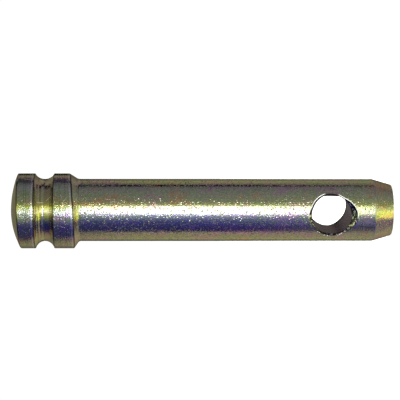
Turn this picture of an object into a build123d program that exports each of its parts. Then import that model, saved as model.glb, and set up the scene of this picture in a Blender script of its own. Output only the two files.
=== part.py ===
from build123d import *
import math
import os

# Top link pin: one forged and turned steel pin. Every size is in millimetres.
# The pin stands on its flat tip face with its head up, so its axis is +Z.
# The origin is the middle of the tip face, and the cross hole runs along Y.

# Shank, the round bar that the links turn on
SHANK_DIAMETER = 19.0
SHOULDER_TO_HOLE = 75.95     # from the start of the head fillet to the axis of the cross hole
HOLE_TO_TIP = 18.95          # from the axis of the cross hole to the tip face

# Head, from the shank outwards
COLLAR_HEIGHT = 1.95         # how far both collars stand out of the shank
FILLET_RADIUS = 1.6          # concave, and tangent to the shank
FLANK_ANGLE = 43.0           # of the cone between the fillet and the lower collar, from the axis
FLANK_EDGE_ROUND = 0.6       # where that cone meets the lower collar
LOWER_COLLAR_WIDTH = 5.3
GROOVE_DEPTH = 1.97
GROOVE_RADIUS = 3.13
GROOVE_EDGE_ROUND = 0.2
UPPER_COLLAR_WIDTH = 4.8
DOME_HEIGHT = 2.6
RIM_ROUND = 0.5              # where the dome meets the upper collar

# Tip
TAPER_LENGTH = 5.85
TAPER_ANGLE = 16.7           # each side, from the axis
TIP_EDGE_ROUND = 0.7

# Cross hole for the linch pin, with a countersink at both mouths
HOLE_DIAMETER = 12.0
COUNTERSINK_WIDTH = 1.3      # outside the bore, at the crest of the shank
COUNTERSINK_ANGLE = 90.0     # from side to side

# Radii that follow from those sizes
SHANK_RADIUS = SHANK_DIAMETER / 2
COLLAR_RADIUS = SHANK_RADIUS + COLLAR_HEIGHT
TIP_RADIUS = SHANK_RADIUS - TAPER_LENGTH * math.tan(math.radians(TAPER_ANGLE))
HOLE_RADIUS = HOLE_DIAMETER / 2

# How far the fillet runs along the pin and out from it, before the cone takes over
FLANK_TURN = math.radians(FLANK_ANGLE)
FILLET_REACH = FILLET_RADIUS * math.sin(FLANK_TURN)
FILLET_RISE = FILLET_RADIUS * (1 - math.cos(FLANK_TURN))

# Half the width of the groove's mouth
GROOVE_REACH = math.sqrt(2 * GROOVE_RADIUS * GROOVE_DEPTH - GROOVE_DEPTH**2)

# Heights up the pin, each worked out from the one below it
HOLE_AXIS = HOLE_TO_TIP
SHOULDER = HOLE_AXIS + SHOULDER_TO_HOLE
FLANK_START = SHOULDER + FILLET_REACH
LOWER_COLLAR_START = FLANK_START + (COLLAR_HEIGHT - FILLET_RISE) / math.tan(FLANK_TURN)
GROOVE_START = LOWER_COLLAR_START + LOWER_COLLAR_WIDTH
GROOVE_FLOOR = GROOVE_START + GROOVE_REACH
GROOVE_END = GROOVE_FLOOR + GROOVE_REACH
RIM = GROOVE_END + UPPER_COLLAR_WIDTH
CROWN = RIM + DOME_HEIGHT

# Corners of the turned outline, as distance from the axis and height, with their rounds
ROUNDED_CORNERS = [
    ((TIP_RADIUS, 0), TIP_EDGE_ROUND),
    ((COLLAR_RADIUS, LOWER_COLLAR_START), FLANK_EDGE_ROUND),
    ((COLLAR_RADIUS, GROOVE_START), GROOVE_EDGE_ROUND),
    ((COLLAR_RADIUS, GROOVE_END), GROOVE_EDGE_ROUND),
    ((COLLAR_RADIUS, RIM), RIM_ROUND),
]


def shank_outline():
    """Axis, tip face, taper and the straight side of the shank."""
    Polyline(
        (0, CROWN),
        (0, 0),
        (TIP_RADIUS, 0),
        (SHANK_RADIUS, TAPER_LENGTH),
        (SHANK_RADIUS, SHOULDER),
    )


def head_outline():
    """Fillet and cone, lower collar, round-bottomed groove, upper collar and dome."""
    fillet_end = (SHANK_RADIUS + FILLET_RISE, FLANK_START)
    groove_start = (COLLAR_RADIUS, GROOVE_START)
    groove_floor = (COLLAR_RADIUS - GROOVE_DEPTH, GROOVE_FLOOR)
    groove_end = (COLLAR_RADIUS, GROOVE_END)
    rim = (COLLAR_RADIUS, RIM)
    TangentArc((SHANK_RADIUS, SHOULDER), fillet_end, tangent=(0, 1))
    Polyline(fillet_end, (COLLAR_RADIUS, LOWER_COLLAR_START), groove_start)
    ThreePointArc(groove_start, groove_floor, groove_end)
    Line(groove_end, rim)
    TangentArc((0, CROWN), rim, tangent=(1, 0))


def turned_blank():
    """The pin as it leaves the lathe, before it is drilled: its half section turned about Z."""
    with BuildPart() as blank:
        with BuildSketch(Plane.XZ) as section:
            with BuildLine():
                shank_outline()
                head_outline()
            make_face()
            for corner, radius in ROUNDED_CORNERS:
                fillet(section.vertices().sort_by_distance(corner)[0], radius)
        revolve(axis=Axis.Z)
    return blank.part


def cross_drill():
    """What the drill and countersink take out: a bore along Y that flares at both mouths."""
    flare = math.tan(math.radians(COUNTERSINK_ANGLE / 2))
    countersink_start = SHANK_RADIUS - COUNTERSINK_WIDTH / flare
    countersink_depth = COLLAR_RADIUS - countersink_start
    bore = Cylinder(HOLE_RADIUS, 2 * COLLAR_RADIUS)
    cone = Cone(
        HOLE_RADIUS,
        HOLE_RADIUS + countersink_depth * flare,
        countersink_depth,
        align=(Align.CENTER, Align.CENTER, Align.MIN),
    )
    countersink = Pos(0, 0, countersink_start) * cone
    drill = bore + countersink + mirror(countersink, about=Plane.XY)
    return Pos(0, 0, HOLE_AXIS) * Rot(90, 0, 0) * drill


def link_pin():
    """The finished pin."""
    pin = turned_blank() - cross_drill()
    pin.label = "link_pin"
    return pin


os.makedirs("parts", exist_ok=True)
export_step(link_pin(), "parts/link_pin.step")
print(f"link_pin is {CROWN:.1f} mm long and {2 * COLLAR_RADIUS:.1f} mm across its collars")
print(f"floor of the groove at {GROOVE_FLOOR:.2f} mm, {2 * (COLLAR_RADIUS - GROOVE_DEPTH):.2f} mm across")
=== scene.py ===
# %% [markdown]
# # A top link pin in yellow zinc
#
# The real object is one steel pin. A bar of 19 mm was headed and turned: a shallow dome, a collar, a
# round-bottomed groove, a second collar and a fillet, then a long plain shank with a short taper at its
# end. A cross hole was drilled through the shank and countersunk at both mouths, and the whole pin was
# zinc plated and passivated yellow.
#
# CAD already holds this shape, with few facets. This file models the skin of the pin again, much finer
# and with soft edges, because plated steel is a mirror that shows every facet. It stands in the same
# place as the CAD pin: tip face on the floor, head up, hole along Y.

# %% Open the frame
import bmesh
import bpy
import math
from mathutils import Matrix, Vector


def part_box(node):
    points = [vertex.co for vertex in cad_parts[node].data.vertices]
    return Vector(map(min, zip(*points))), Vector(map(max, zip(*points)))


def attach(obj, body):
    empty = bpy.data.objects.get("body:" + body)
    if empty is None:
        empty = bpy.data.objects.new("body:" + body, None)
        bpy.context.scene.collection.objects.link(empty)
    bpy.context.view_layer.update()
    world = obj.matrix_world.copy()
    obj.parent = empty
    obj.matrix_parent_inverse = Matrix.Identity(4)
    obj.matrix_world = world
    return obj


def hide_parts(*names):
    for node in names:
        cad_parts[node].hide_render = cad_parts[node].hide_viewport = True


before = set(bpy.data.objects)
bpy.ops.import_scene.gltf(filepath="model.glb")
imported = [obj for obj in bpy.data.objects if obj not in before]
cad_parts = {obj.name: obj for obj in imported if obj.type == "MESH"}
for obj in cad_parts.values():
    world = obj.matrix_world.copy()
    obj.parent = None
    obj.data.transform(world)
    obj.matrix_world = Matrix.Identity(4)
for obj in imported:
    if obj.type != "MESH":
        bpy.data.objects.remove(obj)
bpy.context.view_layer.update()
pin_low, pin_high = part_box("link_pin")
print("CAD pin reaches from", pin_low[:], "to", pin_high[:])

# %% [markdown]
# ## Sizes
#
# A scene is in metres and a pin is measured in millimetres, so one name, MM, turns one into the other.
# The length and the widest radius are read from the frame. The other sizes are those of a pin for a
# small tractor's top link, and every height along the pin is worked out from them, tip to crown.

# %% Sizes of the pin
MM = 0.001
PIN_LENGTH = pin_high.z
COLLAR_RADIUS = pin_high.x

SHANK_RADIUS = 9.5 * MM
TAPER_LENGTH = 5.85 * MM
TAPER_ANGLE = math.radians(16.7)
HOLE_HEIGHT = 18.95 * MM
BORE_RADIUS = 6.0 * MM
COUNTERSINK_WIDTH = 1.3 * MM

SHOULDER_HEIGHT = HOLE_HEIGHT + 75.95 * MM
FILLET_RADIUS = 1.6 * MM
FLANK_ANGLE = math.radians(43)      # of the cone between the fillet and the lower collar
LOWER_COLLAR_WIDTH = 5.3 * MM
GROOVE_RADIUS = 3.13 * MM
GROOVE_DEPTH = 1.97 * MM
DOME_HEIGHT = 2.6 * MM

TIP_EDGE_ROUND = 0.7 * MM
TAPER_EDGE_ROUND = 1.2 * MM
FLANK_EDGE_ROUND = 0.6 * MM
GROOVE_EDGE_ROUND = 0.2 * MM
RIM_ROUND = 0.5 * MM

# %% Heights and angles that follow
COLLAR_STEP = COLLAR_RADIUS - SHANK_RADIUS
TIP_RADIUS = SHANK_RADIUS - TAPER_LENGTH * math.tan(TAPER_ANGLE)
FILLET_RISE = FILLET_RADIUS * (1 - math.cos(FLANK_ANGLE))
GROOVE_TURN = math.acos(1 - GROOVE_DEPTH / GROOVE_RADIUS)
DOME_RADIUS = (COLLAR_RADIUS**2 + DOME_HEIGHT**2) / (2 * DOME_HEIGHT)
DOME_TURN = math.asin(COLLAR_RADIUS / DOME_RADIUS)

FLANK_START = SHOULDER_HEIGHT + FILLET_RADIUS * math.sin(FLANK_ANGLE)
LOWER_COLLAR = FLANK_START + (COLLAR_STEP - FILLET_RISE) / math.tan(FLANK_ANGLE)
GROOVE_START = LOWER_COLLAR + LOWER_COLLAR_WIDTH
GROOVE_FLOOR = GROOVE_START + GROOVE_RADIUS * math.sin(GROOVE_TURN)
GROOVE_END = GROOVE_FLOOR + GROOVE_RADIUS * math.sin(GROOVE_TURN)
RIM_HEIGHT = PIN_LENGTH - DOME_HEIGHT
print(f"the groove's floor is {GROOVE_FLOOR / MM:.1f} mm up a pin of {PIN_LENGTH / MM:.1f} mm")

# %% [markdown]
# ## The turned blank
#
# A turned part is one outline swept round its axis, so the work is all in the outline. It could be
# typed in as a list of points, but then its arcs are only as good as the points. Here it is drawn as a
# turner cuts it: one vertex is the tool's point, it is extruded along the straight runs, and it is spun
# about a centre for the fillet, the groove and the dome. The sharp corners are then eased with a vertex
# bevel.
#
# The pin is the same on both sides of the plane of its axis, so only the front half is swept and
# drilled. A mirror makes the other half.

# %% The turner's pencil
ROUND_STEPS = 144                                  # facets round the whole pin
STEP = 2 * math.pi * SHANK_RADIUS / ROUND_STEPS    # width of one of them on the shank
TOUCHING = 0.001 * MM                              # points this close together are one
NEARBY = 0.01 * MM                                 # and these are in the same place


def deselect_everything():
    if bpy.context.object and bpy.context.object.mode != "OBJECT":
        bpy.ops.object.mode_set(mode="OBJECT")
    bpy.ops.object.select_all(action="DESELECT")


def edit_mesh():
    return bmesh.from_edit_mesh(bpy.context.object.data)


def pencil():
    """Where the outline has got to: its last vertex is the only one selected."""
    return next(vertex.co.copy() for vertex in edit_mesh().verts if vertex.select)


def put_pencil_on_axis(name):
    """A plane whose corners are merged is the one vertex that the outline starts from."""
    deselect_everything()
    bpy.ops.mesh.primitive_plane_add(size=STEP, location=(0, 0, 0))
    bpy.context.object.name = name
    bpy.ops.object.mode_set(mode="EDIT")
    bpy.ops.mesh.select_mode(type="VERT")
    bpy.ops.mesh.merge(type="CENTER")


def cut_to(radius, height, pieces=1):
    """A straight run, extruded in as many pieces as asked."""
    run = (Vector((radius, 0, height)) - pencil()) / pieces
    for _ in range(pieces):
        bpy.ops.mesh.extrude_region_move(TRANSFORM_OT_translate={"value": run})


def cut_round(radius, height, turn, pieces):
    """An arc about a centre, spun from the last vertex. A positive turn goes from outwards to up."""
    bpy.ops.mesh.spin(steps=pieces, angle=turn, center=(radius, 0, height), axis=(0, 1, 0))


# %% Draw the half section
DRILLED_STEPS = 27                                 # facets from the hole's axis to the end of its patch
DRILLED_REACH = DRILLED_STEPS * STEP

put_pencil_on_axis("zinc_plated_pin")
cut_to(TIP_RADIUS, 0, pieces=12)
cut_to(SHANK_RADIUS, TAPER_LENGTH, pieces=12)
cut_to(SHANK_RADIUS, HOLE_HEIGHT - DRILLED_REACH, pieces=4)
cut_to(SHANK_RADIUS, HOLE_HEIGHT + DRILLED_REACH, pieces=2 * DRILLED_STEPS)
cut_to(SHANK_RADIUS, SHOULDER_HEIGHT, pieces=48)
cut_round(SHANK_RADIUS + FILLET_RADIUS, SHOULDER_HEIGHT, -FLANK_ANGLE, pieces=8)
cut_to(COLLAR_RADIUS, LOWER_COLLAR, pieces=4)
cut_to(COLLAR_RADIUS, GROOVE_START, pieces=10)
cut_round(COLLAR_RADIUS - GROOVE_DEPTH + GROOVE_RADIUS, GROOVE_FLOOR, -2 * GROOVE_TURN, pieces=22)
cut_to(COLLAR_RADIUS, RIM_HEIGHT, pieces=10)
cut_round(0, PIN_LENGTH - DOME_RADIUS, DOME_TURN, pieces=22)
print("the outline has", len(edit_mesh().verts), "points and ends at", pencil()[:])

# %% [markdown]
# Six corners of the outline are eased. How far a bevel goes back along both sides of a corner depends
# on how sharp the turn is: a round of radius r on a turn of t goes back by r tan(t / 2).

# %% Ease the corners
def ease_corner(radius, height, round_radius, turn, pieces=4):
    mesh = edit_mesh()
    corner = Vector((radius, 0, height))
    for vertex in mesh.verts:
        vertex.select = (vertex.co - corner).length < NEARBY
    setback = round_radius * math.tan(turn / 2)
    bpy.ops.mesh.bevel(offset=setback, segments=pieces, affect="VERTICES")


RIGHT_ANGLE = math.pi / 2
ease_corner(TIP_RADIUS, 0, TIP_EDGE_ROUND, RIGHT_ANGLE - TAPER_ANGLE)
ease_corner(SHANK_RADIUS, TAPER_LENGTH, TAPER_EDGE_ROUND, TAPER_ANGLE)
ease_corner(COLLAR_RADIUS, LOWER_COLLAR, FLANK_EDGE_ROUND, FLANK_ANGLE)
ease_corner(COLLAR_RADIUS, GROOVE_START, GROOVE_EDGE_ROUND, GROOVE_TURN)
ease_corner(COLLAR_RADIUS, GROOVE_END, GROOVE_EDGE_ROUND, GROOVE_TURN)
ease_corner(COLLAR_RADIUS, RIM_HEIGHT, RIM_ROUND, RIGHT_ANGLE - DOME_TURN)
print("the eased outline has", len(edit_mesh().verts), "points")

# %% Sweep the front half
bpy.ops.mesh.select_all(action="SELECT")
bpy.ops.mesh.spin(steps=ROUND_STEPS // 2, angle=math.pi, center=(0, 0, 0), axis=(0, 0, 1))
bpy.ops.mesh.select_all(action="SELECT")
bpy.ops.mesh.remove_doubles(threshold=TOUCHING)
print("the half blank has", len(edit_mesh().faces), "faces")

# %% [markdown]
# ## The cross hole
#
# A boolean with a drill-shaped cutter would open the hole, but it leaves slivers along its edge, and
# they show in a mirror finish and can't be bevelled. So the hole is opened by hand. A square patch of
# faces is taken out of the shank, its edge is extruded inwards to the mouth, down the countersink and
# on to the middle of the bore, and the rings between are cut in afterwards. Every face stays a quad.
#
# The countersink is a cone of 90 degrees on the bore's axis. It cuts deep where the shank is nearest
# to the drill, above and below the hole, and fades out at the sides, where the shank falls away. The
# width of the cut in each direction is where the cone meets the cylinder of the shank: a quadratic. At
# the sides a narrow break is left, as a deburred edge has.
#
# On the real pin the hole is a little careless, and that is kept: the countersink was set beside the
# middle of its bore, its edge is scraped wider in a few places, and the drill left a burr that makes one
# side of the bore's near edge flat.

# %% Where the countersink meets the shank
EDGE_BREAK = 0.20 * MM
SCRAPE_DEPTH = 0.38 * MM
SCRAPED_AT = (math.radians(50), math.radians(180))
SCRAPE_SHARPNESS = 4
COUNTERSINK_SHIFT = 0.45 * MM
BURR_REACH = 0.45 * MM
CONE_OFFSET = SHANK_RADIUS - COUNTERSINK_WIDTH - BORE_RADIUS


def edge_break(turn):
    """The narrow break at the sides, and the two places where the scraper bit deeper."""
    bites = [max(math.cos(turn - deepest), 0) ** SCRAPE_SHARPNESS for deepest in SCRAPED_AT]
    return EDGE_BREAK + SCRAPE_DEPTH * sum(bites)


def mouth_radius(turn):
    """How far the mouth is from the bore's axis, in a direction round it."""
    across = 1 + math.cos(turn) ** 2
    inside = CONE_OFFSET**2 - across * (CONE_OFFSET**2 - SHANK_RADIUS**2)
    reach = (math.sqrt(inside) - CONE_OFFSET) / across - COUNTERSINK_SHIFT * math.sin(turn)
    return max(reach, BORE_RADIUS + edge_break(turn))


def mouth_point(turn):
    """On the shank's skin, at the edge of the countersink."""
    reach = mouth_radius(turn)
    x = reach * math.cos(turn)
    return Vector((x, -math.sqrt(SHANK_RADIUS**2 - x**2), HOLE_HEIGHT + reach * math.sin(turn)))


def bore_point(turn):
    """Where the countersink ends and the bore begins. A burr leaves the bore's side a little flat."""
    skin = mouth_point(turn)
    depth = skin.y + mouth_radius(turn) - BORE_RADIUS
    x = min(BORE_RADIUS * math.cos(turn), BORE_RADIUS - BURR_REACH)
    return Vector((x, depth, HOLE_HEIGHT + BORE_RADIUS * math.sin(turn)))


def middle_point(turn):
    """On the plane that the mirror will use."""
    return Vector((BORE_RADIUS * math.cos(turn), 0, HOLE_HEIGHT + BORE_RADIUS * math.sin(turn)))


print(f"the mouth is {2 * mouth_radius(RIGHT_ANGLE) / MM:.1f} mm long and "
      f"{2 * mouth_radius(0) / MM:.1f} mm wide")

# %% Take the patch out
def skin_angle(point):
    """Round the pin's axis, from the middle of the front."""
    return math.atan2(point.x, -point.y)


def select_opening():
    """The open edge of the drilled side. The half's other open edge lies on the mirror's plane."""
    bpy.ops.mesh.select_mode(type="EDGE")
    for edge in edit_mesh().edges:
        off_mirror = all(vertex.co.y < -NEARBY for vertex in edge.verts)
        edge.select = edge.is_boundary and off_mirror
    print("edges round the opening:", sum(edge.select for edge in edit_mesh().edges))


patch_angle = DRILLED_REACH / SHANK_RADIUS
bpy.ops.mesh.select_mode(type="FACE")
for face in edit_mesh().faces:
    middle = face.calc_center_median()
    in_height = abs(middle.z - HOLE_HEIGHT) < DRILLED_REACH
    face.select = in_height and abs(skin_angle(middle)) < patch_angle
print("faces taken out of the shank:", sum(face.select for face in edit_mesh().faces))
bpy.ops.mesh.delete(type="FACE")

# %% Extrude the opening inwards
def turn_on_skin(point):
    """The direction from the hole's centre, with the skin laid flat: it suits the square opening."""
    return math.atan2(point.z - HOLE_HEIGHT, SHANK_RADIUS * skin_angle(point))


def turn_in_bore(point):
    """The direction round the bore's axis."""
    return math.atan2(point.z - HOLE_HEIGHT, point.x)


def extrude_ring(direction, place, cuts):
    """Extrudes the opening, puts each new vertex where it belongs, and cuts rings into the band."""
    select_opening()
    bpy.ops.mesh.extrude_edges_indiv()
    ring = [vertex for vertex in edit_mesh().verts if vertex.select]
    spokes = [edge for vertex in ring for edge in vertex.link_edges if not edge.select]
    for vertex in ring:
        vertex.co = place(direction(vertex.co))
    bpy.ops.mesh.select_all(action="DESELECT")
    for spoke in spokes:
        spoke.select = cuts > 0
    if cuts > 0:
        bpy.ops.mesh.subdivide_edgering(number_cuts=cuts, interpolation="LINEAR")


extrude_ring(turn_on_skin, mouth_point, 9)

# %% [markdown]
# The new rings lie on straight lines across the patch, inside the shank's round. A Cast modifier pushes
# them out to the cylinder again, and a vertex group keeps it to the patch.

# %% Round the patch
inside_patch = DRILLED_REACH - 0.1 * STEP          # leaves out the vertices on the patch's edge
bpy.ops.mesh.select_mode(type="VERT")
for vertex in edit_mesh().verts:
    in_height = abs(vertex.co.z - HOLE_HEIGHT) < inside_patch
    vertex.select = in_height and abs(skin_angle(vertex.co)) < patch_angle
pin = bpy.context.object
pin.vertex_groups.new(name="patch")
bpy.ops.object.vertex_group_assign()
bpy.ops.object.mode_set(mode="OBJECT")
cast = pin.modifiers.new("round the patch", "CAST")
cast.cast_type = "CYLINDER"
cast.factor = 1
cast.use_radius_as_size = False
cast.size = SHANK_RADIUS
cast.use_z = False
cast.vertex_group = "patch"
bpy.ops.object.modifier_apply(modifier=cast.name)
radii = [v.co.xy.length / MM for v in pin.data.vertices if abs(v.co.z - HOLE_HEIGHT) < DRILLED_REACH]
print(f"the patch's radius runs from {min(radii):.4f} to {max(radii):.4f} mm")

# %% Countersink and bore
bpy.ops.object.mode_set(mode="EDIT")
extrude_ring(turn_in_bore, bore_point, 0)
extrude_ring(turn_in_bore, middle_point, 9)

# %% [markdown]
# Both edges of the countersink are eased with a bevel, the outer one a little more: the drill leaves it
# with a small bright burr, which is then knocked off.

# %% Ease the mouth
def ease_ring(place, offset):
    """Bevels the ring of edges whose ends lie where this function puts them."""
    bpy.ops.mesh.select_mode(type="EDGE")
    for edge in edit_mesh().edges:
        on_ring = [(v.co - place(turn_in_bore(v.co))).length < TOUCHING for v in edge.verts]
        edge.select = all(on_ring)
    print("edges eased:", sum(edge.select for edge in edit_mesh().edges))
    bpy.ops.mesh.bevel(offset=offset, segments=3, affect="EDGES")


ease_ring(mouth_point, offset=0.12 * MM)
ease_ring(bore_point, offset=0.05 * MM)

# %% Mirror the half, and close it
bpy.ops.object.mode_set(mode="OBJECT")
mirror = pin.modifiers.new("other half", "MIRROR")
mirror.use_axis = (False, True, False)
mirror.use_clip = True
mirror.merge_threshold = TOUCHING
bpy.ops.object.modifier_apply(modifier=mirror.name)
bpy.ops.object.mode_set(mode="EDIT")
bpy.ops.mesh.select_all(action="SELECT")
bpy.ops.mesh.remove_doubles(threshold=TOUCHING)
bpy.ops.mesh.normals_make_consistent(inside=False)
mesh = edit_mesh()
print("open edges:", sum(edge.is_boundary for edge in mesh.edges),
      "odd edges:", sum(not edge.is_manifold for edge in mesh.edges),
      f"volume: {mesh.calc_volume() / MM**3:.0f} mm3", "faces:", len(mesh.faces))
bpy.ops.object.mode_set(mode="OBJECT")

# %% [markdown]
# ## The head's small faults
#
# A headed blank is never quite true. In the photograph both collars sit a hair low on the shank, while
# the groove, which was turned later, is true to it, and each edge of the head leans its own way. Every
# ring of the mesh could be turned by hand. Here each vertex is pushed along the pin by how far out it
# lies, with leans that are given at a few heights and blended between them.
#
# Two things have to be known before that push. The distances past the nearest edge of a collar and past
# the rim of the hole are kept as attributes of the mesh, so that the finish can follow those edges once
# they have moved. A weighted normal modifier then keeps the flat faces flat up to their bevels.

# %% How the head leans
COLLAR_SHIFT = 0.28 * MM
LEANS = [
    (SHOULDER_HEIGHT, Vector((0, 0))),
    (LOWER_COLLAR, Vector((0.045, 0.085))),
    (GROOVE_START, Vector((0.003, 0.008))),
    (GROOVE_END, Vector((0.003, 0.010))),
    (RIM_HEIGHT, Vector((0.036, 0))),
    (PIN_LENGTH, Vector((0, 0))),
]


def lean(height):
    """How much the head leans at this height, read off between the stated heights."""
    for (low, low_lean), (high, high_lean) in zip(LEANS, LEANS[1:]):
        if low <= height <= high:
            return low_lean.lerp(high_lean, (height - low) / (high - low))
    return Vector((0, 0))


# %% Keep the distances from the edges
COLLAR_EDGES = [(LOWER_COLLAR, 1), (GROOVE_START, -1), (GROOVE_END, 1), (RIM_HEIGHT, -1)]
FAR_FROM_EDGE = 2.0                                # millimetres, past which it makes no difference


def past_edge(point):
    """Millimetres from the nearest collar edge, positive off the collar and negative on it."""
    nearest = FAR_FROM_EDGE
    for height, collar_side in COLLAR_EDGES:
        gap = math.hypot(point.xy.length - COLLAR_RADIUS, point.z - height) / MM
        if gap < abs(nearest):
            nearest = -gap if (point.z - height) * collar_side > 0 else gap
    return nearest


def past_mouth(point):
    """Millimetres from the countersink's edge, positive on the shank and negative in the hole."""
    turn = math.atan2(point.z - HOLE_HEIGHT, point.x)
    gap = (math.hypot(point.x, point.z - HOLE_HEIGHT) - mouth_radius(turn)) / MM
    return max(min(gap, FAR_FROM_EDGE), -FAR_FROM_EDGE)


for name, measure in (("past_edge", past_edge), ("past_mouth", past_mouth)):
    places = pin.data.attributes.new(name, "FLOAT", "POINT")
    places.data.foreach_set("value", [measure(vertex.co) for vertex in pin.data.vertices])

# %% Set the head askew
for vertex in pin.data.vertices:
    if vertex.co.z > SHOULDER_HEIGHT:
        proud = min(max(vertex.co.xy.length - SHANK_RADIUS, 0) / COLLAR_STEP, 1)
        vertex.co.z += lean(vertex.co.z).dot(vertex.co.xy)
        vertex.co.x -= COLLAR_SHIFT * proud

bpy.ops.object.shade_smooth_by_angle(angle=math.radians(30))
weighted = pin.modifiers.new("big faces stay flat", "WEIGHTED_NORMAL")
weighted.keep_sharp = True
bpy.ops.object.modifier_apply(modifier=weighted.name)
print("the lower collar's edge leans by", f"{lean(LOWER_COLLAR).length * COLLAR_RADIUS / MM:.1f} mm")

# %% [markdown]
# ## Yellow zinc
#
# Zinc plate with a yellow passivation is bright metal under a film thinner than a wavelength, so its
# tint drifts over the surface: mauve, straw, olive. It could be one metal colour, but then the pin looks
# like brass. Here a large soft noise moves the tint, a small one mottles it, and a fine one speckles it.
#
# The shine is broken in four ways, all through the bump: a fine grain, small facets from blasting, the
# crossed marks of centreless grinding on the shank and turning marks on the head, and single scratches
# from other pins in the barrel. The facets do the most. Each tips the reflection a little, so that the
# edge of every bright band breaks up into sparks.
#
# Edges are handled apart, by the attributes kept above. A dark line of painted shade lies in each corner
# of the collars, and a pale worn streak beside the edges that face the tip. At the mouth of the hole the
# rims, the countersink and the far end of the bore are painted dark as shade, the countersink with
# painted glints. The burr is a raised rag of bare metal, made pale and dull instead of metallic as a
# painted highlight.

# %% A way to wire nodes
def put(tree, kind, sockets=None, **settings):
    """Adds a shader node. A socket takes a value, or another node's output to be linked."""
    node = tree.nodes.new("ShaderNode" + kind)
    for name, value in settings.items():
        setattr(node, name, value)
    for name, value in (sockets or {}).items():
        if isinstance(value, bpy.types.NodeSocket):
            tree.links.new(value, node.inputs[name])
        else:
            node.inputs[name].default_value = value
    return node


def sum_of(tree, operation, *values):
    """One step of arithmetic."""
    return put(tree, "Math", dict(enumerate(values)), operation=operation).outputs[0]


def ease(tree, value, start, end, low=0.0, high=1.0):
    """A soft change from low to high while a value goes from start to end."""
    limits = {"Value": value, "From Min": start, "From Max": end, "To Min": low, "To Max": high}
    return put(tree, "MapRange", limits, interpolation_type="SMOOTHSTEP").outputs[0]


def blend(tree, factor, first, second, how="MIX"):
    """Two colours, mixed or multiplied."""
    sockets = {"Factor": factor, "A": first, "B": second}
    return put(tree, "Mix", sockets, data_type="RGBA", blend_type=how).outputs["Result"]


def colour_stops(tree, value, stops):
    """A colour ramp from places and colours."""
    ramp = put(tree, "ValToRGB", {"Fac": value})
    elements = ramp.color_ramp.elements
    while len(elements) < len(stops):
        elements.new(1)
    for element, (position, colour) in zip(elements, stops):
        element.position = position
        element.color = (*colour, 1)
    return ramp.outputs["Color"]


def noise(tree, vector, size, detail=2.0):
    """Soft noise whose blots are about this many millimetres across."""
    sockets = {"Vector": vector, "Scale": 1 / size, "Detail": detail}
    return put(tree, "TexNoise", sockets).outputs["Fac"]


# %% Combining masks
def product(tree, *values):
    """Masks multiplied together: what is left is where all of them hold."""
    result = values[0]
    for value in values[1:]:
        result = sum_of(tree, "MULTIPLY", result, value)
    return result


def band(tree, value, start, full, fading, end):
    """A mask that comes in from start to full and goes out again from fading to end."""
    return product(tree, ease(tree, value, start, full), ease(tree, value, end, fading))


def slant(tree, first, second):
    """The length of the slanted side over two straight ones."""
    squares = [sum_of(tree, "POWER", side, 2) for side in (first, second)]
    return sum_of(tree, "SQRT", sum_of(tree, "ADD", *squares))


# %% Places on the pin, in millimetres
zinc = bpy.data.materials.new("yellow zinc")
zinc.use_nodes = True
tree = zinc.node_tree
object_place = put(tree, "TexCoord").outputs["Object"]
place = put(tree, "Mapping", {"Vector": object_place, "Scale": [1 / MM] * 3}).outputs["Vector"]
across_x, across_y, along = put(tree, "SeparateXYZ", {"Vector": place}).outputs
from_hole = sum_of(tree, "SUBTRACT", along, HOLE_HEIGHT / MM)
from_bore_axis = slant(tree, across_x, from_hole)
from_pin_axis = slant(tree, across_x, across_y)
off_mouth = put(tree, "Attribute", attribute_name="past_mouth").outputs["Fac"]
off_edge = put(tree, "Attribute", attribute_name="past_edge").outputs["Fac"]

to_front = product(tree, across_y, -1)
round_angle = sum_of(tree, "ARCTAN2", across_x, to_front)
round_skin = product(tree, round_angle, SHANK_RADIUS / MM)
unrolled = put(tree, "CombineXYZ", {"X": round_skin, "Y": along}).outputs["Vector"]

# %% Head, groove and hole
SHANK_MM, COLLAR_MM, BORE_MM = SHANK_RADIUS / MM, COLLAR_RADIUS / MM, BORE_RADIUS / MM
on_head = ease(tree, along, SHOULDER_HEIGHT / MM - 0.8, SHOULDER_HEIGHT / MM + 0.4)
below_collars = ease(tree, from_pin_axis, COLLAR_MM - 0.1, COLLAR_MM - 0.6)
past_collar = ease(tree, along, LOWER_COLLAR / MM + 1, GROOVE_START / MM)
in_groove = product(tree, below_collars, past_collar)
in_bore = ease(tree, from_bore_axis, BORE_MM + 0.16, BORE_MM + 0.06)
below_skin = ease(tree, from_pin_axis, SHANK_MM - 0.05, SHANK_MM - 0.12)
near_hole = ease(tree, from_bore_axis, BORE_MM + 2.2, BORE_MM + 2.0)
in_hole = product(tree, below_skin, near_hole)

# %% Edges of the collars and of the taper
# Each band starts, is full, fades and ends at these millimetres past its edge.
STREAK_BAND = (-0.85, -0.60, -0.40, -0.20)
SHADE_LINE_BAND = (-0.30, -0.05, 0.20, 0.45)
TAPER_BAND = [TAPER_LENGTH / MM + past for past in (-0.55, -0.25, 0.05, 0.35)]


def up_to(height):
    """A mask that ends on the collar that starts at this height."""
    return ease(tree, along, height / MM + 1.6, height / MM + 1.2)


past_groove = ease(tree, along, GROOVE_END / MM - 0.8, GROOVE_END / MM - 0.4)
upper_tipward = product(tree, up_to(GROOVE_END), past_groove)
tipward = sum_of(tree, "MAXIMUM", up_to(LOWER_COLLAR), upper_tipward)
edge_streak = product(tree, band(tree, off_edge, *STREAK_BAND), tipward)
# Painted shade: a dark line along each edge of the collars.
edge_shade_line = band(tree, off_edge, *SHADE_LINE_BAND)
taper_edge = band(tree, along, *TAPER_BAND)

# %% Rims and burr at the mouth of the hole
# The same four places of a band, in millimetres past the mouth.
THIN_RIM_BAND = (-0.45, -0.30, 0.0, 0.08)
LOW_RIM_BAND = (-0.20, -0.10, 0.08, 0.18)
BURR_BAND = (0.02, 0.10, 0.22, 0.36)

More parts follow.
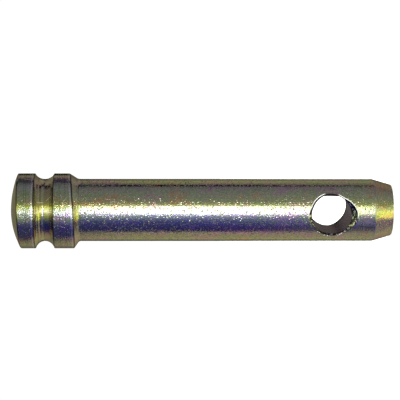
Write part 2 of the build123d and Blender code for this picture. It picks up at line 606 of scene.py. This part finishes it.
off_centre = sum_of(tree, "ABSOLUTE", from_hole)
# Painted shade: dark lines along the mouth's upper rim and across its top.
thin_rim = product(tree, band(tree, off_mouth, *THIN_RIM_BAND), ease(tree, across_x, -0.5, 1.0))
top_rim = product(tree, ease(tree, off_mouth, 0.14, 0.06), ease(tree, off_centre, 2.6, 1.8),
                  ease(tree, across_x, 0.0, 1.0))
upper_rim_shade = sum_of(tree, "MAXIMUM", thin_rim, top_rim)
glints = ease(tree, noise(tree, place, 0.7, 1), 0.54, 0.59)
# Painted shade on the mouth's lower rim, weaker at the glint spots.
low_rim_shade = product(tree, band(tree, off_mouth, *LOW_RIM_BAND), ease(tree, glints, 0, 1, 0.85, 0.2))
# The burr: raised in the bump, and painted pale and dull as a painted highlight for its glint.
up_side = product(tree, ease(tree, across_x, -1.5, 0.5), ease(tree, off_centre, 1.6, 2.6))
spots = ease(tree, noise(tree, place, 0.55, 1), 0.54, 0.60)
low_side = product(tree, ease(tree, across_x, -4.5, -5.5), spots)
burr_side = sum_of(tree, "MAXIMUM", up_side, low_side)
burr_and_painted_glint = product(tree, band(tree, off_mouth, *BURR_BAND), burr_side)

# %% [markdown]
# A scratch is a straight line in a random direction. Voronoi cells part the surface, and each cell has a
# point and a random colour. The colour serves as the normal of a plane through that point, and where the
# plane cuts the skin there is a line. A random number for each cell says which ones have a scratch.
#
# The same cells make the facets of blasted metal: inside each one the height rises evenly along the
# random direction, steeply in some cells and hardly in others. They lean round the pin and hardly along
# it, so that they break up the long edges of the bands of light and not their ends.

# %% Scratches and facets
MIDDLE_GREY = (0.5, 0.5, 0.5)
ALONG_SHARE = 0.10                                 # how much of a facet's lean is along the pin


def vectors(operation, *values):
    """One step of arithmetic on vectors."""
    return put(tree, "VectorMath", dict(enumerate(values)), operation=operation)


def cells_of(size):
    """Parts the surface into cells: the way from each one's middle, a random vector, a random number."""
    cells = put(tree, "TexVoronoi", {"Vector": place, "Scale": 1 / size})
    middle = cells.outputs["Position"]
    from_middle = vectors("SUBTRACT", place, middle).outputs["Vector"]
    random_way = vectors("SUBTRACT", cells.outputs["Color"], MIDDLE_GREY).outputs["Vector"]
    chance = put(tree, "TexWhiteNoise", {"Vector": middle}).outputs["Value"]
    return from_middle, random_way, chance


def scratches(size, half_width, share):
    """One straight scratch in this share of the cells."""
    from_middle, random_way, chance = cells_of(size)
    normal = vectors("NORMALIZE", random_way).outputs["Vector"]
    reach = sum_of(tree, "ABSOLUTE", vectors("DOT_PRODUCT", from_middle, normal).outputs["Value"])
    line = ease(tree, reach, half_width, half_width / 3)
    return product(tree, line, sum_of(tree, "LESS_THAN", chance, share))


def facets(size, slope):
    """Each cell is tilted its own way, some little and some more, as on blasted metal."""
    from_middle, random_way, chance = cells_of(size)
    leaning = vectors("MULTIPLY", random_way, (1, 1, ALONG_SHARE)).outputs["Vector"]
    tipped = vectors("DOT_PRODUCT", from_middle, leaning).outputs["Value"]
    reach = vectors("LENGTH", from_middle).outputs["Value"]
    fade = ease(tree, reach, 0.65 * size, 0.2 * size, 0, slope)
    return product(tree, tipped, product(tree, chance, fade))


long_scratches = scratches(size=4.0, half_width=0.10, share=0.20)
short_scratches = scratches(size=1.5, half_width=0.09, share=0.16)
scratched = sum_of(tree, "MAXIMUM", long_scratches, short_scratches)

# %% The drifting tint
TINTS = [
    (0.36, (0.66, 0.46, 0.50)),
    (0.42, (0.66, 0.52, 0.46)),
    (0.47, (0.62, 0.58, 0.42)),
    (0.52, (0.54, 0.61, 0.36)),
    (0.58, (0.63, 0.58, 0.39)),
    (0.64, (0.74, 0.53, 0.32)),
]
stretched = put(tree, "Mapping", {"Vector": place, "Scale": (1, 1, 0.5)}).outputs["Vector"]
large_patches = product(tree, noise(tree, stretched, size=6, detail=3), 0.7)
small_patches = product(tree, noise(tree, place, size=1.6), 0.3)
tint = colour_stops(tree, sum_of(tree, "ADD", large_patches, small_patches), TINTS)
speckle = ease(tree, noise(tree, place, 0.45, 1), 0.3, 0.7, 0.84, 1.16)
speckle_colour = put(tree, "CombineColor", {0: speckle, 1: speckle, 2: speckle}).outputs[0]
tint = blend(tree, 1.0, tint, speckle_colour, "MULTIPLY")

# %% Colours over the tint
GROOVE_STRAW = (0.68, 0.60, 0.30, 1)
SCRATCHED_ZINC = (0.80, 0.80, 0.95, 1)
WORN_ZINC = (0.92, 0.92, 0.90, 1)
EDGE_SHADE = (0.05, 0.04, 0.05, 1)
TAPER_GREY = (0.66, 0.64, 0.66, 1)
CONE_SHADE = (0.06, 0.055, 0.05, 1)
CONE_PAINTED_GLINT = (0.85, 0.90, 0.80, 1)
BORE_VIOLET = (0.36, 0.25, 0.44, 1)
BORE_FAR_SHADE = (0.05, 0.04, 0.06, 1)
LOW_RIM_SHADE = (0.08, 0.07, 0.07, 1)
UPPER_RIM_SHADE = (0.03, 0.03, 0.03, 1)
BURR_PAINTED_GLINT = (0.90, 0.90, 0.88, 1)


def paint(tint, mask, colour, strength=1.0):
    """Lays a colour over the tint, this strongly where the mask holds."""
    return blend(tree, product(tree, mask, strength), tint, colour)


tint = paint(tint, in_groove, GROOVE_STRAW, 0.4)
tint = paint(tint, scratched, SCRATCHED_ZINC, 0.5)
tint = paint(tint, edge_streak, WORN_ZINC, 0.6)
# The dark line at the collars' edges is painted shade.
tint = paint(tint, edge_shade_line, EDGE_SHADE, 0.95)
tint = paint(tint, taper_edge, TAPER_GREY, 0.7)
far_bore_shade = ease(tree, across_y, 4.0, 6.8)
# Painted shade: the countersink is painted dark, with painted glints at scattered spots.
tint = blend(tree, in_hole, tint, blend(tree, glints, CONE_SHADE, CONE_PAINTED_GLINT))
# Painted shade: the bore is painted darker towards its far end.
tint = blend(tree, in_bore, tint, blend(tree, far_bore_shade, BORE_VIOLET, BORE_FAR_SHADE))
# Painted shade on the lower rim.
tint = paint(tint, low_rim_shade, LOW_RIM_SHADE)
# Painted shade on the upper rim.
tint = paint(tint, upper_rim_shade, UPPER_RIM_SHADE)
# Painted highlight: the burr is painted pale.
tint = paint(tint, burr_and_painted_glint, BURR_PAINTED_GLINT)

# %% The grain and the marks of grinding
GRAIN_DEPTH = 0.016                                # these depths and heights are in millimetres
GRINDING_DEPTH = 0.010
TURNING_DEPTH = 0.003
STROKE = (3.2, 0.45, 1)                            # how far the noise is pressed together each way
RING = (0.16, 0.16, 2.4)


def marks(turn):
    """Noise drawn out into strokes that lie at this turn to the pin's axis."""
    laid = put(tree, "Mapping", {"Vector": unrolled, "Rotation": (0, 0, math.radians(turn))})
    drawn = put(tree, "Mapping", {"Vector": laid.outputs["Vector"], "Scale": STROKE})
    return noise(tree, drawn.outputs["Vector"], 1, 1)


def layer(height, pattern, depth):
    """Adds a pattern to the height so far, this deep. It adds to a roughness just as well."""
    return sum_of(tree, "MULTIPLY_ADD", pattern, depth, height)


grain = noise(tree, place, 0.42, 1)
grinding = layer(product(tree, marks(40), GRINDING_DEPTH), marks(-50), GRINDING_DEPTH)
rings = put(tree, "Mapping", {"Vector": place, "Scale": RING}).outputs["Vector"]
turning = product(tree, noise(tree, rings, 1), TURNING_DEPTH)
tool_marks = put(tree, "Mix", {"Factor": on_head, "A": grinding, "B": turning}, data_type="FLOAT")

# %% Height of the skin
SCRATCH_DEPTH = 0.012
BURR_HEIGHT = 0.05
CHATTER_DEPTH = 0.06

blasted = ease(tree, on_head, 0, 1, 1, 0.7)
blasted = layer(blasted, in_groove, -0.3)
height = layer(tool_marks.outputs["Result"], product(tree, grain, blasted), GRAIN_DEPTH)
height = layer(height, facets(size=0.50, slope=0.70), blasted)
height = layer(height, scratched, -SCRATCH_DEPTH)
height = layer(height, burr_and_painted_glint, BURR_HEIGHT)
height = layer(height, product(tree, noise(tree, place, 0.8), in_hole), CHATTER_DEPTH)
bump = put(tree, "Bump", {"Height": height, "Distance": MM, "Strength": 1.0}).outputs["Normal"]

# %% Roughness and the shader
rough = ease(tree, noise(tree, place, size=3, detail=3), 0.3, 0.7, 0.09, 0.15)
rough = layer(rough, on_head, -0.04)
rough = layer(rough, in_groove, 0.05)
rough = layer(rough, edge_streak, 0.18)
rough = layer(rough, scratched, 0.24)
rough = layer(rough, taper_edge, 0.20)
rough = layer(rough, in_hole, 0.15)
shader = tree.nodes["Principled BSDF"]
# The burr is not metallic, so that its pale colour shows as a painted highlight.
tree.links.new(sum_of(tree, "SUBTRACT", 1.0, burr_and_painted_glint), shader.inputs["Metallic"])
tree.links.new(tint, shader.inputs["Base Color"])
tree.links.new(rough, shader.inputs["Roughness"])
tree.links.new(bump, shader.inputs["Normal"])
pin.data.materials.append(zinc)
print("the finish has", len(tree.nodes), "nodes")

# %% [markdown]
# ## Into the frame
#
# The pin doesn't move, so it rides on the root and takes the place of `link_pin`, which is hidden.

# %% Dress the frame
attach(pin, "root")
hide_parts("link_pin")

# %% [markdown]
# ## Floor
#
# The floor is plain, pale and a little bright of its own, so that it fades into the white round it. It
# isn't mirrored in the pin, because the photograph shows no floor there.

# %% Floor
deselect_everything()
bpy.ops.mesh.primitive_circle_add(vertices=96, radius=1.5, fill_type="NGON", location=(0, 0, 0))
floor = bpy.context.object
floor.name = "floor"
pale = bpy.data.materials.new("pale floor")
pale.use_nodes = True
floor_shader = pale.node_tree.nodes["Principled BSDF"]
floor_shader.inputs["Base Color"].default_value = (0.9, 0.9, 0.9, 1)
floor_shader.inputs["Roughness"].default_value = 0.9
floor_shader.inputs["Emission Color"].default_value = (1, 1, 1, 1)
floor_shader.inputs["Emission Strength"].default_value = 0.6
floor.data.materials.append(pale)
floor.visible_glossy = False

# %% [markdown]
# ## The studio
#
# A polished pin has no shading of its own: what shows on it is the room. In the photograph the room is
# one strip light beside the camera, a dark blue card under it, a thin dark gap above, and warm grey
# walls. Area lights could stand there, but each would have to be placed by trial. The world does it with
# colour by direction instead, and the camera itself sees plain white.
#
# A direction is named by the way a mirror would have to face to throw it towards the front of the
# studio: halfway between the two. Turned into an angle round the pin, that keeps a band of light
# straight over the whole pin, through groove, fillet and taper, as a long card beside it does.
#
# Each ramp goes once round the pin and gives each card its angle. One holds beside the shank, the next
# towards the head, for the collars, the next near the tip, and two for what the slopes see: one for the
# groove and the fillet, one for the taper and the cone. A wall past the head stands behind the dome.

# %% Directions in the studio
CAMERA_TURN = math.radians(10.5)
FRONT = (0, -1, 0)
world = bpy.data.worlds.new("studio")
bpy.context.scene.world = world
world.use_nodes = True
tree = world.node_tree
direction = put(tree, "TexCoord").outputs["Generated"]
turned = put(tree, "Mapping", {"Vector": direction, "Rotation": (0, 0, -CAMERA_TURN)}).outputs["Vector"]
east, north, rise = put(tree, "SeparateXYZ", {"Vector": turned}).outputs
around = sum_of(tree, "ARCTAN2", east, product(tree, north, -1))

sum_with_front = put(tree, "VectorMath", {0: turned, 1: FRONT}, operation="ADD")
halfway = put(tree, "VectorMath", {0: sum_with_front.outputs["Vector"]}, operation="NORMALIZE")
half_east, half_north, lift = put(tree, "SeparateXYZ", {"Vector": halfway.outputs["Vector"]}).outputs
half_facing = sum_of(tree, "ARCTAN2", half_east, product(tree, half_north, -1))
facing = product(tree, half_facing, 2)
whole_turn = {"Value": facing, "From Min": -math.pi, "From Max": math.pi}
part_of_turn = put(tree, "MapRange", whole_turn).outputs[0]


def cards(bands):
    """Colours round the pin, by degrees from the front: positive is up in the picture."""
    stops = [((degrees + 180) / 360, colour) for degrees, colour in bands]
    return colour_stops(tree, part_of_turn, stops)


# %% Cards beside the pin and behind its head
BESIDE = cards([
    (-180, (0.10, 0.10, 0.07)),
    (-150, (0.10, 0.10, 0.07)),
    (-138, (0.42, 0.41, 0.28)),
    (-118, (0.37, 0.33, 0.23)),
    (-100, (0.42, 0.34, 0.29)),
    (-90, (0.44, 0.37, 0.44)),
    (-88, (0.02, 0.015, 0.09)),
    (-62, (0.035, 0.03, 0.28)),
    (-46, (0.05, 0.05, 0.38)),
    (-38, (0.10, 0.11, 0.50)),
    (-30, (0.24, 0.26, 0.68)),
    (-19, (0.46, 0.44, 1.15)),
    (-16, (1.6, 1.6, 3.4)),
    (-13, (3.9, 3.8, 7.2)),
    (-4, (4.2, 4.2, 7)),
    (3, (4.4, 4.6, 6.4)),
    (11, (4.3, 4.4, 4.0)),
    (14, (1.3, 1.25, 0.80)),
    (20, (0.42, 0.40, 0.28)),
    (32, (0.24, 0.25, 0.28)),
    (60, (0.205, 0.22, 0.25)),
    (84, (0.18, 0.175, 0.23)),
    (96, (0.17, 0.165, 0.25)),
    (98, (0.0, 0.0, 0.005)),
    (109, (0.0, 0.0, 0.005)),
    (111, (0.27, 0.25, 0.25)),
    (118, (0.28, 0.26, 0.19)),
    (136, (0.33, 0.33, 0.22)),
    (150, (0.11, 0.10, 0.07)),
])
HEADWARDS = cards([
    (-150, (0.14, 0.13, 0.10)),
    (-130, (0.31, 0.28, 0.22)),
    (-110, (0.22, 0.20, 0.18)),
    (-97, (0.07, 0.055, 0.10)),
    (-88, (0.05, 0.05, 0.17)),
    (-52, (0.05, 0.052, 0.18)),
    (-40, (0.085, 0.095, 0.20)),
    (-26, (0.27, 0.33, 0.29)),
    (-15, (0.26, 0.31, 0.24)),
    (-9, (0.32, 0.38, 0.34)),
    (-3, (0.80, 0.90, 0.95)),
    (2, (0.85, 0.95, 0.70)),
    (6, (0.50, 0.60, 0.15)),
    (13, (0.66, 0.78, 0.10)),
    (17, (0.28, 0.31, 0.13)),
    (34, (0.22, 0.23, 0.20)),
    (54, (0.16, 0.175, 0.16)),
    (70, (0.18, 0.20, 0.29)),
    (88, (0.12, 0.13, 0.18)),
    (97, (0.05, 0.05, 0.09)),
    (116, (0.035, 0.035, 0.07)),
    (124, (0.17, 0.15, 0.15)),
    (137, (0.25, 0.25, 0.19)),
    (143, (0.02, 0.02, 0.015)),
])

# %% Cards near the tip, and those that the slopes see
NEAR_TIP = cards([
    (-150, (0.10, 0.10, 0.07)),
    (-138, (0.40, 0.40, 0.27)),
    (-95, (0.31, 0.26, 0.28)),
    (-80, (0.20, 0.17, 0.22)),
    (-72, (0.10, 0.085, 0.18)),
    (-60, (0.12, 0.11, 0.26)),
    (-50, (0.26, 0.28, 0.45)),
    (-30, (0.28, 0.30, 0.36)),
    (-20, (0.42, 0.45, 0.42)),
    (-15, (1.4, 1.5, 0.7)),
    (2, (1.5, 1.6, 0.60)),
    (9, (1.4, 1.4, 0.28)),
    (13, (0.45, 0.45, 0.20)),
    (30, (0.32, 0.34, 0.25)),
    (60, (0.23, 0.25, 0.27)),
    (94, (0.18, 0.17, 0.23)),
    (97, (0.05, 0.045, 0.06)),
    (104, (0.05, 0.045, 0.06)),
    (107, (0.20, 0.18, 0.20)),
    (136, (0.31, 0.31, 0.21)),
    (150, (0.11, 0.10, 0.07)),
])
ENDWARDS = cards([
    (-170, (0.12, 0.11, 0.08)),
    (-140, (0.34, 0.31, 0.19)),
    (-110, (0.42, 0.38, 0.25)),
    (-82, (0.36, 0.31, 0.30)),
    (-53, (0.26, 0.23, 0.25)),
    (-39, (0.33, 0.34, 0.27)),
    (-31, (1.5, 1.5, 0.40)),
    (-7, (1.6, 1.6, 0.32)),
    (2, (0.75, 0.70, 0.32)),
    (12, (0.45, 0.42, 0.25)),
    (25, (0.35, 0.34, 0.25)),
    (53, (0.25, 0.26, 0.27)),
    (88, (0.19, 0.165, 0.20)),
    (116, (0.24, 0.21, 0.19)),
    (140, (0.13, 0.12, 0.09)),
])
IN_GROOVE = cards([
    (-150, (0.20, 0.16, 0.12)),
    (-125, (0.34, 0.28, 0.20)),
    (-101, (0.28, 0.21, 0.22)),
    (-90, (0.16, 0.11, 0.17)),
    (-80, (0.02, 0.015, 0.14)),
    (-55, (0.015, 0.02, 0.18)),
    (-43, (0.05, 0.065, 0.19)),
    (-35, (0.12, 0.15, 0.15)),
    (-27, (0.25, 0.30, 0.14)),
    (-20, (0.45, 0.53, 0.17)),
    (-13, (0.62, 0.72, 0.33)),
    (-9, (1.3, 1.4, 1.2)),
    (-4, (1.9, 1.9, 1.9)),
    (1, (1.3, 1.4, 0.95)),
    (8, (1.3, 1.35, 0.50)),
    (14, (0.50, 0.50, 0.12)),
    (22, (0.27, 0.26, 0.12)),
    (38, (0.18, 0.165, 0.16)),
    (78, (0.13, 0.11, 0.13)),
    (86, (0.08, 0.07, 0.10)),
    (89, (0.0, 0.0, 0.0)),
    (100, (0.0, 0.0, 0.0)),
    (103, (0.24, 0.24, 0.20)),
    (118, (0.26, 0.27, 0.21)),
    (150, (0.13, 0.12, 0.09)),
])

# %% Put the studio together
# A direction's rise says where each set of cards begins, and its lift where the taper and the cone are.
# A pair gives where a set begins and where it has taken over.
TO_HEAD = (0.043, 0.051)
TO_TIP = (-0.060, -0.115)
TO_SLOPES = (0.15, 0.25)
TAPER_LIFT = (-0.49, -0.44, -0.34, -0.315)
CONE_LIFT = (-0.56, -0.61)
PAST_HEAD = (0.14, 0.24)
STRAIGHT_DOWN = (-0.975, -0.985)
WALL_BEHIND = (0.19, 0.185, 0.135, 1)
CONE_LIGHT = (2.0, 1.9, 1.3, 1)
SEEN_WHITE = (1.05, 1.05, 1.05, 1)

steep = sum_of(tree, "ABSOLUTE", rise)
on_slopes = sum_of(tree, "MAXIMUM", band(tree, lift, *TAPER_LIFT), ease(tree, lift, *CONE_LIFT))
behind = ease(tree, sum_of(tree, "ABSOLUTE", around), math.radians(120), math.radians(160))
room = blend(tree, ease(tree, rise, *TO_HEAD), BESIDE, HEADWARDS)
room = blend(tree, ease(tree, rise, *TO_TIP), room, NEAR_TIP)
room = blend(tree, ease(tree, steep, *TO_SLOPES), room, IN_GROOVE)
room = blend(tree, on_slopes, room, ENDWARDS)
room = blend(tree, product(tree, ease(tree, rise, *PAST_HEAD), behind), room, WALL_BEHIND)
room = blend(tree, ease(tree, rise, *STRAIGHT_DOWN), room, CONE_LIGHT)
room = blend(tree, put(tree, "LightPath").outputs["Is Camera Ray"], room, SEEN_WHITE)
tree.links.new(room, tree.nodes["Background"].inputs["Color"])
print("the studio has", len(tree.nodes), "nodes")

# %% Ceiling light
# It is wide and soft, and left out of the reflections: it lights the floor and the dull burr.
bpy.ops.object.light_add(type="AREA", location=(0, 0, 1.2))
ceiling = bpy.context.object
ceiling.name = "ceiling light"
ceiling.data.shape = "DISK"
ceiling.data.size = 1.6
ceiling.data.energy = 30
ceiling.visible_camera = False
ceiling.visible_glossy = False

# %% [markdown]
# ## Camera
#
# The pin lies across the photograph with its head to the left, but here it stands. So the camera is
# rolled by a quarter turn, and up in its picture is sideways in the studio. Its lens follows from its
# distance and from how much of the pin one pixel covers.

# %% Camera
PIXEL = MM / 3.266                                 # what a pixel of the picture covers at the pin
PICTURE_PIXELS = 400
TIP_PIXEL = 391.1
FOOT_PIXEL = 165                                   # the camera looks straight at the pin here
SENSOR_WIDTH = 36
CAMERA_DISTANCE = 480 * MM
axis_drop = 9.95 * PIXEL                           # the pin's axis lies this far below the middle row
foot_height = (TIP_PIXEL - FOOT_PIXEL) * PIXEL
picture_middle = (TIP_PIXEL - PICTURE_PIXELS / 2) * PIXEL
picture_up = Vector((math.cos(CAMERA_TURN), math.sin(CAMERA_TURN), 0))
towards_camera = Vector((math.sin(CAMERA_TURN), -math.cos(CAMERA_TURN), 0))
eye = Vector((0, 0, foot_height)) + towards_camera * CAMERA_DISTANCE + picture_up * axis_drop
aim = Vector((0, 0, picture_middle)) + picture_up * axis_drop
looking = (aim - eye).normalized()
right = looking.cross(picture_up).normalized()
above = right.cross(looking)
camera_turn = Matrix((right, above, -looking)).transposed()
bpy.ops.object.camera_add(location=eye, rotation=camera_turn.to_euler())
camera = bpy.context.object
camera.name = "camera"
camera.data.sensor_width = SENSOR_WIDTH
camera.data.lens = SENSOR_WIDTH * (aim - eye).length / (PICTURE_PIXELS * PIXEL)
bpy.context.scene.camera = camera
bpy.context.scene.view_settings.view_transform = "Standard"
print("the camera's lens is", round(camera.data.lens, 1), "mm")
